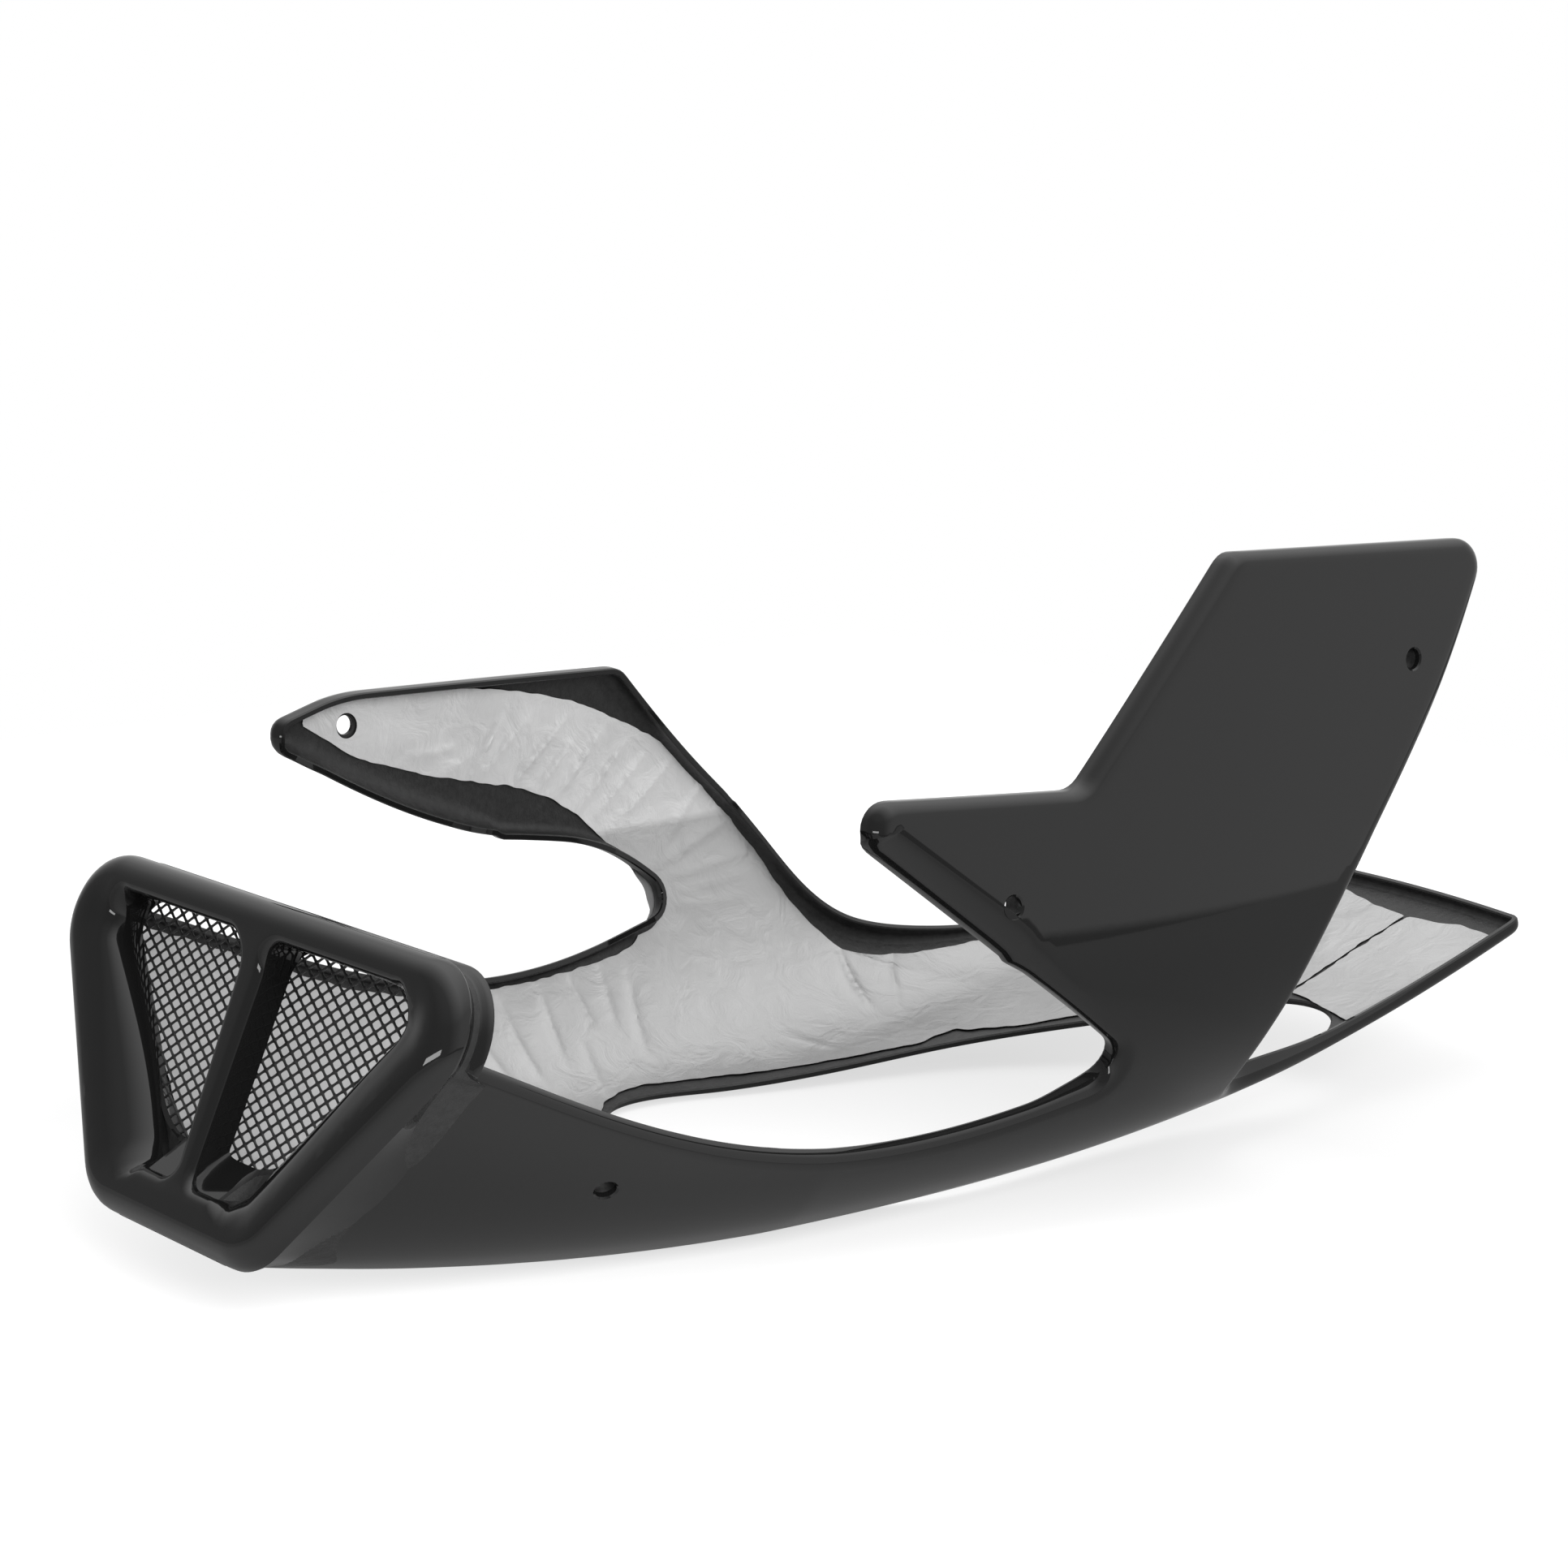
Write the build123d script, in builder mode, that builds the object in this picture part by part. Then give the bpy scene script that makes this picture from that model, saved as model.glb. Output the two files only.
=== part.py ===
"""Motorcycle belly pan: a moulded shell with two intake grilles in its nose and heat foil inside.

Frame: +X runs to the rear of the machine, +Y to its right, +Z up.
The origin is at mid length on the centre line, at the level of the lowest point.
All sizes are in millimetres.
"""
import os
from math import cos, hypot, radians, sin, sqrt, tan

from build123d import *

# Hull lines: stations along the pan
chin_x = -343.0
low_x = -120.0
wide_x = 105.0
tail_x = 343.0
floor_x = 45.0
station_count = 13
run_out = 20.0

# Hull lines: keel, floor, beam and the leaned sides
chin_rise = 24.0
tail_rise = 66.0
tail_power = 2.7
chin_floor_half = 40.0
floor_half_width = 80.0
tail_floor_half = 108.0
floor_power = 1.5
floor_share = 0.6
chin_beam_half = 126.0
beam_half_width = 174.0
tail_beam_half = 168.0
beam_level = 117.0
beam_sweep = 35.0
beam_sweep_run = 330.0
hull_fullness = 2.0
chin_fullness = 1.3
panel_lean = 7.0
lean_run = 60.0
hull_top = 300.0
bilge_angles = (0, 25, 50, 70, 90)

# Laminate and rolled edges
wall = 3.0
flange = 12.0
edge_radius = 7.0
overlap = 1.0
far = 420.0
deep = 60.0
broad = 260.0
redraw_steps = 12

# Left side, seen from the left as X and Z: rim, notch, horn and fin
left_rim = ((-330, 132), (-277, 106), (-228, 81), (-131, 47), (-51, 43.5))
left_notch = (33, 58)
left_horn = (-139, 193.5)
left_crook = (-9, 184.6)
left_brow = (82, 273)
left_crown = (300, 263.5)
left_notch_radius = 12.0
left_horn_radius = 9.0
left_crook_radius = 14.0
left_brow_radius = 12.0
left_crown_radius = 12.0
left_crown_spot = (243, -155, 264)
left_rear_walls = ((275, 320), (243, 263), (212, 209), (161, 144), (120, 82), (112, 60))
left_rear_floors = ((112, 138), (124, 127), (150, 121), (200, 114), (260, 111), (335, 113), (380, 113))

# Right side as X and Z: rim, notch and arm
right_rim = ((-330, 142), (-267, 116), (-218, 94), (-125.5, 60.5), (-44, 55.5))
right_notch = (34, 70)
right_arm_low = ((-3, 101), (-71, 121))
right_tip = (-215, 188)
right_fore = (-166, 198.5)
right_crown = (120, 187)
right_notch_radius = 11.0
right_tip_radius = 9.0
right_fore_radius = 200.0
right_crown_radius = 10.0
right_crown_spot = (2, 162, 192)
right_rear_walls = ((-60, 255), (2, 192), (53, 141), (97.5, 91))
right_rear_floors = ((128, 151), (169, 137), (215, 126), (270, 117), (335, 113), (380, 113))

# Rear cuts: how far each ruled cut reaches past the skin, and the way the inner cut is moved
cut_out = 14.0
cut_in = 30.0
left_cut_shift = (-1.0, 1.0, 0.3)
right_cut_shift = (-0.75, -0.9, -0.75)
tail_bow = 11.0
tail_bow_half = 140.0

# Nose frame on a raked plane, as half widths and slope heights
rake = 23.0
nose_set = -2.4
nose_foot = 28.4
frame_foot_half = 60.0
frame_top_half = 170.0
frame_height = 135.0
frame_foot_radius = 18.0
frame_top_radius = 28.0
frame_depth = 23.0
frame_roll = 8.0
frame_skin = 3.5
field_inset = 13.0
field_drop = 5.0
field_taper = 45.0
flare_run = 30.0
flare_taper = 28.0

# Intake windows, as distances from the centre bar and slope heights
window_top = 120.5
window_foot = 20.0
bar_half_top = 8.5
bar_half_foot = 5.0
window_top_half = 127.0
window_foot_half = 37.0
window_bar_radius = 12.0
window_tip_radius = 9.0
window_foot_radius = 8.0
funnel_foot = 35.0
funnel_wall = 3.0
funnel_depth = 18.5

# Grilles of expanded metal
grille_thick = 1.0
grille_lap = 2.4
grille_rim = 3.0
mesh_width = 14.5
mesh_rise = 10.0
strand = 1.5

# Floor opening, as X and Y round a smooth outline
opening = (
    (-80, -10), (-76, -68), (-52, -87), (60, -94), (163, -98), (214, -97), (232, -84), (236, -60), (205, -18),
    (168, 14), (112, 48), (58, 64), (4, 80), (-35, 91), (-62, 86), (-76, 62),
)

# Bolt holes
hole_diameter = 9.0
left_horn_hole = (-48.9, 142.9)
left_fin_hole = (187.0, 217.7)
right_arm_hole = (-156.7, 183.6)
low_hole = (-215.5, 47.2)
hole_reach = 30.0

# Heat foil
foil_thick = 0.4
foil_gap = 0.1
foil_margin = 11.0
foil_hole_margin = 4.0
foil_front_x = -280.0
foil_near_y = -70.0
foil_mid_x = 100.0
slit_half = 1.0
slit_front = (222, -50)
slit_rear = (350, -52)
arm_foil_top = ((-181, 193), (-155, 195.5), (-104, 193.5), (-48, 184.5), (4, 165.5), (40, 145.5), (79, 110))
arm_foil_low = ((17, 68), (17, 82), (-5, 109), (-34, 131.5), (-73, 145), (-131, 161), (-182, 186))


def blend(x, start, end, power):
    """Share of the way from one station to another, raised to a power."""
    return max((x - start) / (end - start), 0.0) ** power


def keel(x):
    return chin_rise * blend(x, low_x, chin_x, 2) + tail_rise * blend(x, low_x, tail_x, tail_power)


def floor_half(x):
    fore = (floor_half_width - chin_floor_half) * blend(x, floor_x, chin_x, 2)
    aft = (tail_floor_half - floor_half_width) * blend(x, wide_x, tail_x, floor_power)
    return floor_half_width - fore + aft


def beam_half(x):
    fore = (beam_half_width - chin_beam_half) * blend(x, wide_x, chin_x, 2)
    aft = (beam_half_width - tail_beam_half) * blend(x, wide_x, tail_x, 2)
    return beam_half_width - fore - aft


def beam_height(x):
    return beam_level + beam_sweep * ((x - floor_x) / beam_sweep_run) ** 2


def fullness(x):
    return hull_fullness - (hull_fullness - chin_fullness) * blend(x, low_x, chin_x, 1)


def bilge(x, s, k):
    """Point and outward normal on the rounded lower side, for a sine and cosine of its turn."""
    p = fullness(x)
    wide = beam_half(x) - floor_half(x)
    high = beam_height(x) - keel(x)
    ny = s ** (2 - 2 / p) / wide
    nz = -(k ** (2 - 2 / p)) / high
    n = hypot(ny, nz)
    return floor_half(x) + wide * s ** (2 / p), beam_height(x) - high * k ** (2 / p), ny / n, nz / n


def wall_point(x, z):
    """Point and normal of the skin at a height."""
    above = z - beam_height(x)
    if above >= 0:
        return beam_half(x) - above * above / (above + lean_run) * tan(radians(panel_lean)), z, 1.0, 0.0
    k = (-above / (beam_height(x) - keel(x))) ** (fullness(x) / 2)
    return bilge(x, sqrt(1 - k * k), k)


def floor_point(x, y):
    """Point and normal of the skin at a distance from the centre line."""
    past = y - floor_half(x)
    if past <= 0:
        return y, keel(x), 0.0, -1.0
    s = (past / (beam_half(x) - floor_half(x))) ** (fullness(x) / 2)
    return bilge(x, s, sqrt(1 - s * s))


def section(x, inset):
    """Section of the hull at a station, moved inward from the outer skin."""
    skin = [floor_point(x, 0.0), floor_point(x, floor_share * floor_half(x))]
    skin += [bilge(x, sin(radians(a)), max(cos(radians(a)), 0.0)) for a in bilge_angles]
    skin += [wall_point(x, beam_height(x) + lean_run), wall_point(x, hull_top)]
    half = [(y - inset * ny, z - inset * nz) for y, z, ny, nz in skin]
    return [(-y, z) for y, z in reversed(half[1:])] + half


def hull(inset):
    """Solid bounded by the skin moved inward."""
    length = tail_x - chin_x + 2 * run_out
    with BuildPart() as body:
        for i in range(station_count):
            x = chin_x - run_out + length * i / (station_count - 1)
            points = section(x, inset)
            with BuildSketch(Plane.YZ.offset(x)):
                with BuildLine():
                    Spline(*points)
                    Line(points[-1], points[0])
                make_face()
        loft()
    return body.part


def round_corners(sketch, corners):
    for point, radius in corners:
        fillet(sketch.vertices().sort_by_distance(Vector(*point, 0))[0], radius)


def move_in(side, inset):
    """Side region with its outline moved inward and its curves drawn again as splines."""
    if not inset:
        return side.sketch
    steps = range(redraw_steps + 1)
    with BuildSketch(Plane.XZ) as moved:
        with BuildLine():
            for edge in offset(side.sketch_local, amount=-inset, mode=Mode.PRIVATE).edges():
                if edge.geom_type in (GeomType.LINE, GeomType.CIRCLE):
                    add(edge)
                else:
                    Spline(*[edge @ (i / redraw_steps) for i in steps], tangents=(edge % 0, edge % 1))
        make_face()
    return moved.sketch


def left_outline(inset):
    """Left side region from the keel up to the rim, horn and fin."""
    with BuildSketch(Plane.XZ) as side:
        with BuildLine():
            Spline(*left_rim, left_notch)
            Polyline(left_notch, left_horn, left_crook, left_brow, left_crown)
            Polyline(left_crown, (far, left_crown[1]), (far, -deep), (-far, -deep), (-far, left_rim[0][1]), left_rim[0])
        make_face()
        round_corners(side, (
            (left_notch, left_notch_radius),
            (left_horn, left_horn_radius),
            (left_crook, left_crook_radius),
            (left_brow, left_brow_radius),
        ))
    return move_in(side, inset)


def right_outline(inset):
    """Right side region from the keel up to the rim and arm."""
    with BuildSketch(Plane.XZ) as side:
        with BuildLine():
            Spline(*right_rim, right_notch)
            Spline(right_notch, *right_arm_low, right_tip)
            Polyline(right_tip, right_fore, right_crown)
            Polyline(
                right_crown, (far, right_crown[1]), (far, -deep), (-far, -deep), (-far, right_rim[0][1]), right_rim[0]
            )
        make_face()
        round_corners(side, (
            (right_notch, right_notch_radius),
            (right_tip, right_tip_radius),
            (right_fore, right_fore_radius),
        ))
    return move_in(side, inset)


def trim(inset):
    """Solid that keeps the pan between its side outlines and ahead of the tail edge."""
    with BuildPart() as keep:
        extrude(left_outline(inset), amount=broad)
        extrude(right_outline(inset), amount=-broad)
        with BuildSketch(Plane.XY.offset(-deep)):
            with BuildLine():
                ends = tail_x - tail_bow - inset
                ThreePointArc((ends, -tail_bow_half), (tail_x - inset, 0), (ends, tail_bow_half))
                Polyline(
                    (ends, tail_bow_half), (ends, broad), (-far, broad),
                    (-far, -broad), (ends, -broad), (ends, -tail_bow_half),
                )
            make_face()
        extrude(amount=deep + hull_top, mode=Mode.INTERSECT)
    return keep.part


def rear_cut(walls, floors, side, shift, inset):
    """Ruled cut that stands square to the skin along a rear edge."""
    skin = [(x, *wall_point(x, z)) for x, z in walls] + [(x, *floor_point(x, y)) for x, y in floors]
    outer = [Vector(x, side * (y + cut_out * ny), z + cut_out * nz) for x, y, z, ny, nz in skin]
    inner = [Vector(x, side * (y - cut_in * ny), z - cut_in * nz) for x, y, z, ny, nz in skin]
    face = Face.make_surface_from_curves(Edge.make_spline(outer), Edge.make_spline(inner))
    return face.moved(Location(Vector(*shift) * inset))


def pan_layer(outer, inner, inset):
    """Layer between two hulls, cut to the outline of the pan."""
    with BuildPart() as layer:
        add(hull(outer))
        add(hull(inner), mode=Mode.SUBTRACT)
        add(trim(inset), mode=Mode.INTERSECT)
    body = layer.part
    for walls, floors, side, shift in (
        (right_rear_walls, right_rear_floors, 1, right_cut_shift),
        (left_rear_walls, left_rear_floors, -1, left_cut_shift),
    ):
        pieces = body.split(rear_cut(walls, floors, side, shift, inset), keep=Keep.ALL)
        body = pieces.solids().sort_by(SortBy.VOLUME)[-1]
    return body


nose = Plane(
    origin=(chin_x + nose_set, 0, nose_foot),
    x_dir=(0, -1, 0),
    z_dir=(-cos(radians(rake)), 0, sin(radians(rake))),
)


def frame_outline(depth, inset):
    """Outline of the nose frame at a depth behind its front."""
    with BuildSketch(nose.offset(-depth)) as outline:
        with BuildLine():
            Polyline(
                (-frame_foot_half, 0), (frame_foot_half, 0), (frame_top_half, frame_height),
                (-frame_top_half, frame_height), close=True,
            )
        make_face()
        for way in (-1, 1):
            round_corners(outline, (
                ((way * frame_foot_half, 0), frame_foot_radius),
                ((way * frame_top_half, frame_height), frame_top_radius),
            ))
        if inset:
            offset(amount=-inset)
    return outline.sketch


def bar_side(share):
    """Distance of a window's inner side from the centre line, part way up the window."""
    return bar_half_foot + share * (bar_half_top - bar_half_foot)


def outer_side(share):
    """Distance of a window's outer side from the centre line, part way up the window."""
    return window_foot_half + share * (window_top_half - window_foot_half)


def window_outline(depth, grow, way, foot, spots=()):
    """Outline of one intake window at a depth, down to a foot and grown by a margin, with mesh gaps at any spots."""
    with BuildSketch(nose.offset(-depth)) as outline:
        share = (foot - window_foot) / (window_top - window_foot)
        corners = (
            (way * bar_half_top, window_top),
            (way * window_top_half, window_top),
            (way * outer_side(share), foot),
            (way * bar_side(share), foot),
        )
        with BuildLine():
            Polyline(*corners, close=True)
        make_face()
        radii = (window_bar_radius, window_tip_radius, window_foot_radius, window_foot_radius)
        round_corners(outline, zip(corners, radii))
        if grow:
            offset(amount=grow)
        if spots:
            rim = outline.sketch_local - offset(outline.sketch_local, amount=-grille_rim, mode=Mode.PRIVATE)
            with Locations(*spots):
                Polygon(
                    (mesh_width / 2 - strand, 0), (0, mesh_rise / 2 - strand),
                    (strand - mesh_width / 2, 0), (0, strand - mesh_rise / 2),
                    align=None, mode=Mode.SUBTRACT,
                )
            add(rim)
    return outline.sketch


def across(part, spot):
    """Short edge that runs across the flange nearest a spot."""
    short = part.edges().filter_by(lambda edge: edge.length < 2 * flange)
    return short.sort_by_distance(Vector(*spot))[0]


# Outer skin of the shell, as thick as the flange is deep, with its edges rolled
with BuildPart() as rolled:
    add(pan_layer(0.0, flange, 0.0))
    fillet(across(rolled, left_crown_spot), left_crown_radius)
    fillet(across(rolled, right_crown_spot), right_crown_radius)
    outer_skin = rolled.faces().sort_by(SortBy.AREA)[-1]
    chin_edges = outer_skin.edges().filter_by_position(Axis.X, -far, chin_x)
    fillet(outer_skin.edges() - chin_edges, edge_radius)
    split(bisect_by=nose.offset(-frame_depth + frame_skin / 2), keep=Keep.BOTTOM)

# Room inside the rolled edges
hollow = pan_layer(wall, flange + overlap, wall)

# Nose frame: a rolled rim around a dished field
with BuildPart() as nose_frame:
    extrude(frame_outline(0.0, 0.0), amount=-frame_depth)
    extrude(frame_outline(0.0, field_inset), amount=-field_drop, taper=field_taper, mode=Mode.SUBTRACT)
    rim_face = nose_frame.faces().filter_by(nose).sort_by(Axis(nose.origin, nose.z_dir))[-1]
    fillet(rim_face.outer_wire().edges(), frame_roll)
    for way in (-1, 1):
        add(window_outline(0.0, 0.0, way, window_foot))
        add(window_outline(frame_depth, 0.0, way, funnel_foot))
        loft(mode=Mode.SUBTRACT)

# Flare that carries the frame's sides into the hull, up to the rims
with BuildPart() as nose_flare:
    extrude(frame_outline(frame_depth - frame_skin, 0.0), amount=-flare_run, taper=flare_taper)
    add(trim(0.0), mode=Mode.INTERSECT)
    add(hull(wall), mode=Mode.SUBTRACT)

# Room behind the field, around the window funnels
with BuildPart() as nose_room:
    room_start = field_drop + frame_skin
    room_end = frame_depth - frame_skin
    extrude(frame_outline(room_start, frame_skin), amount=room_start - room_end)
    for way in (-1, 1):
        funnel = window_outline(room_start, funnel_wall, way, window_foot)
        extrude(funnel, amount=room_start - funnel_depth, mode=Mode.SUBTRACT)

# Way from that room into the pan
with BuildPart() as nose_way:
    extrude(frame_outline(room_end - overlap, frame_skin), amount=-frame_depth)
    add(hull(wall), mode=Mode.INTERSECT)

# Floor opening
with BuildPart() as floor_opening:
    with BuildSketch(Plane.XY.offset(-deep)):
        with BuildLine():
            Spline(*opening, periodic=True)
        make_face()
    extrude(amount=2 * deep)

# Bolt holes, square to the side panels and to the low walls
low_y, low_z, low_ny, low_nz = wall_point(*low_hole)
hole_planes = [
    Plane(origin=(x, side * wall_point(x, z)[0], z), z_dir=(0, side, 0))
    for (x, z), side in ((left_horn_hole, -1), (left_fin_hole, -1), (right_arm_hole, 1))
]
hole_planes += [
    Plane(origin=(low_hole[0], side * low_y, low_z), z_dir=(0, side * low_ny, low_nz)) for side in (-1, 1)
]
right_arm_plane = hole_planes[2]

with BuildPart() as drills:
    for plane in hole_planes:
        with Locations(plane):
            Cylinder(hole_diameter / 2, hole_reach)

# The moulded shell
with BuildPart() as pan_shell:
    add(rolled.part)
    add(hollow, mode=Mode.SUBTRACT)
    add(floor_opening.part, mode=Mode.SUBTRACT)
    add(drills.part, mode=Mode.SUBTRACT)
    add(nose_flare.part)
    add(nose_frame.part)
    add(nose_room.part, mode=Mode.SUBTRACT)
    add(nose_way.part, mode=Mode.SUBTRACT)


def in_window(across_bar, up_slope):
    """Whether a spot lies over the open rear end of a window funnel."""
    share = (up_slope - window_foot) / (window_top - window_foot)
    return funnel_foot < up_slope < window_top and bar_side(share) < across_bar < outer_side(share)


def grille(way):
    """Expanded metal plate seated on the rear end of a window funnel."""
    columns = range(int(window_top_half / mesh_width) + 1)
    rows = range(int(2 * window_top / mesh_rise) + 1)
    spots = [((column + row % 2 / 2) * mesh_width, row * mesh_rise / 2) for row in rows for column in columns]
    spots = [(way * u, v) for u, v in spots if in_window(u, v)]
    with BuildPart() as plate:
        extrude(window_outline(funnel_depth, grille_lap, way, funnel_foot, spots), amount=-grille_thick)
    return plate.part


with BuildPart() as grille_left:
    add(grille(1))

with BuildPart() as grille_right:
    add(grille(-1))


# Film on the inner skin, clear of the rolled edges, the floor opening and the arm's bolt hole
with BuildPart() as film:
    add(pan_layer(wall + foil_gap, wall + foil_gap + foil_thick, foil_margin))
    add(floor_opening.part, mode=Mode.SUBTRACT)
    with Locations(right_arm_plane):
        Cylinder(hole_diameter / 2 + foil_hole_margin, hole_reach, mode=Mode.SUBTRACT)
    with BuildSketch(Plane.XZ):
        with BuildLine():
            Spline(*arm_foil_top)
            Polyline(
                arm_foil_top[-1], (far, arm_foil_top[-1][1]), (far, -deep),
                (-far, -deep), (-far, arm_foil_low[0][1]), arm_foil_low[0],
            )
            Spline(*arm_foil_low)
            Line(arm_foil_low[-1], arm_foil_top[0])
        make_face()
    extrude(amount=broad, both=True, mode=Mode.INTERSECT)


def foil(corners):
    """Piece of the film within a plan outline."""
    with BuildPart() as piece:
        with BuildSketch(Plane.XY.offset(-deep)):
            Polygon(*corners, align=None)
        extrude(amount=deep + hull_top)
        add(film.part, mode=Mode.INTERSECT)
    return piece.part


with BuildPart() as heat_foil_right:
    add(foil((
        (foil_front_x, foil_near_y), (foil_mid_x, foil_near_y), (slit_front[0], slit_front[1] + slit_half),
        (slit_rear[0], slit_rear[1] + slit_half), (slit_rear[0], broad), (foil_front_x, broad),
    )))

with BuildPart() as heat_foil_left:
    add(foil((
        (slit_front[0], -broad), (slit_rear[0], -broad),
        (slit_rear[0], slit_rear[1] - slit_half), (slit_front[0], slit_front[1] - slit_half),
    )))

os.makedirs("parts", exist_ok=True)

pan_shell.part.label = "pan_shell"
export_step(pan_shell.part, "parts/pan_shell.step")
grille_left.part.label = "grille_left"
export_step(grille_left.part, "parts/grille_left.step")
grille_right.part.label = "grille_right"
export_step(grille_right.part, "parts/grille_right.step")
heat_foil_right.part.label = "heat_foil_right"
export_step(heat_foil_right.part, "parts/heat_foil_right.step")
heat_foil_left.part.label = "heat_foil_left"
export_step(heat_foil_left.part, "parts/heat_foil_left.step")
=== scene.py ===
import math
from functools import partial

import bpy
import numpy as np
from mathutils import Euler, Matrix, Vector, noise
from mathutils.geometry import delaunay_2d_cdt


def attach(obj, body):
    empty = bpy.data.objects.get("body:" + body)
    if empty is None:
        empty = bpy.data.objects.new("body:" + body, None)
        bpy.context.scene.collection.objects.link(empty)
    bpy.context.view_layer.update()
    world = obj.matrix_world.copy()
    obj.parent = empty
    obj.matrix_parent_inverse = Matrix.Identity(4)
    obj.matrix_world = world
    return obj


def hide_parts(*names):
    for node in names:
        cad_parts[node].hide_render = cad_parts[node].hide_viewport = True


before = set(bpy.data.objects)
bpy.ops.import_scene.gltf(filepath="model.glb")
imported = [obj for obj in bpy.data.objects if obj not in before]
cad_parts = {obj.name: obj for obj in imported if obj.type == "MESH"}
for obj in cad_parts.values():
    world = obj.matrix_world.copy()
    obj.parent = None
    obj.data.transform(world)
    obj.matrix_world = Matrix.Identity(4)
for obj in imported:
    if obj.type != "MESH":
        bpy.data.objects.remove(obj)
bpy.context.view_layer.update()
scene = bpy.context.scene
scene.view_settings.view_transform = "Standard"
mm = 0.001  # all shapes below are worked out in millimetres
sharpAngle = math.radians(30)  # edges sharper than this stay crisp


# hull lines, the same as those of the solid
hullLines = {
    "chinX": -343.0, "lowX": -120.0, "floorX": 45.0, "wideX": 105.0, "tailX": 343.0,
    "chinRise": 24.0, "tailRise": 66.0, "tailPower": 2.7,
    "chinFloor": 40.0, "midFloor": 80.0, "tailFloor": 108.0, "floorPower": 1.5,
    "chinBeam": 126.0, "midBeam": 174.0, "tailBeam": 168.0,
    "beamLevel": 117.0, "beamSweep": 35.0, "sweepRun": 330.0,
    "fullness": 2.0, "chinFullness": 1.3, "lean": 7.0, "leanRun": 60.0,
    "floorGirth": 80.0, "bilgeGirth": 150.0,  # how much of the girth each stretch takes
}


def ease(a):
    a = np.clip(a, 0, 1)
    return a * a * (3 - 2 * a)


def fadeIn(a, stretch):  # from nought to one, over a start and a run
    start, run = stretch
    return ease((a - start) / run)


def fadeOut(a, stretch):
    start, run = stretch
    return ease((start - a) / run)


def partWay(x, start, end, power):
    return np.clip((x - start) / (end - start), 0, None) ** power


def sectionLines(x):
    h = hullLines
    keel = h["chinRise"] * partWay(x, h["lowX"], h["chinX"], 2)
    keel = keel + h["tailRise"] * partWay(x, h["lowX"], h["tailX"], h["tailPower"])
    floor = h["midFloor"] - (h["midFloor"] - h["chinFloor"]) * partWay(x, h["floorX"], h["chinX"], 2)
    floor = floor + (h["tailFloor"] - h["midFloor"]) * partWay(x, h["wideX"], h["tailX"], h["floorPower"])
    beam = h["midBeam"] - (h["midBeam"] - h["chinBeam"]) * partWay(x, h["wideX"], h["chinX"], 2)
    beam = beam - (h["midBeam"] - h["tailBeam"]) * partWay(x, h["wideX"], h["tailX"], 2)
    level = h["beamLevel"] + h["beamSweep"] * ((x - h["floorX"]) / h["sweepRun"]) ** 2
    full = h["fullness"] - (h["fullness"] - h["chinFullness"]) * partWay(x, h["lowX"], h["chinX"], 1)
    return keel, floor, beam, level, full


def skinPlace(x, girth):  # point of the outer skin at a station and a girth, left side negative
    h = hullLines
    keel, floor, beam, level, full = sectionLines(x)
    g = np.abs(girth)
    u = np.clip((g - h["floorGirth"]) / h["bilgeGirth"], 0, 1)
    bend = full / 2
    turn = math.pi / 2 * u ** bend / (u ** bend + (1 - u) ** bend)
    s = np.clip(np.sin(turn), 0, 1) ** (2 / full)
    k = np.clip(np.cos(turn), 0, 1) ** (2 / full)
    above = np.clip(g - h["floorGirth"] - h["bilgeGirth"], 0, None)
    y = np.where(g < h["floorGirth"], floor * g / h["floorGirth"], floor + (beam - floor) * s)
    y = y - above * above / (above + h["leanRun"]) * math.tan(math.radians(h["lean"]))
    z = level - (level - keel) * k + above
    return np.stack([x + 0 * g, np.sign(girth) * y, z], -1)


def skinNormal(x, girth, step=0.6):
    along = skinPlace(x + step, girth) - skinPlace(x - step, girth)
    across = skinPlace(x, girth + step) - skinPlace(x, girth - step)
    n = np.cross(across, along)
    return n / np.linalg.norm(n, axis=-1, keepdims=True)


def onSkin(f):  # the same two for rows of station and girth
    return skinPlace(f[:, 0], f[:, 1])


def skinOut(f):
    return skinNormal(f[:, 0], f[:, 1])


def bilgeShare(turn, full):
    f = np.clip(turn / (math.pi / 2), 0, 1)
    power = 2 / full
    return hullLines["bilgeGirth"] * f ** power / (f ** power + (1 - f) ** power)


def girthAtHeight(x, z):
    h = hullLines
    keel, _, _, level, full = sectionLines(x)
    k = np.clip((level - z) / (level - keel), 0, 1) ** (full / 2)
    low = h["floorGirth"] + bilgeShare(np.arccos(k), full)
    return np.where(z > level, h["floorGirth"] + h["bilgeGirth"] + z - level, low)


def girthAtWidth(x, y):
    h = hullLines
    _, floor, beam, _, full = sectionLines(x)
    s = np.clip((y - floor) / (beam - floor), 0, 1) ** (full / 2)
    return np.where(y < floor, h["floorGirth"] * y / floor, h["floorGirth"] + bilgeShare(np.arcsin(s), full))


def wallPath(points, side=1):  # stations and heights turned into stations and girths
    p = np.asarray(points, float)
    return np.stack([p[:, 0], side * girthAtHeight(p[:, 0], p[:, 1])], -1)


def floorPath(points):  # stations and widths turned into stations and girths
    p = np.asarray(points, float)
    return np.stack([p[:, 0], np.sign(p[:, 1]) * girthAtWidth(p[:, 0], np.abs(p[:, 1]))], -1)


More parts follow.
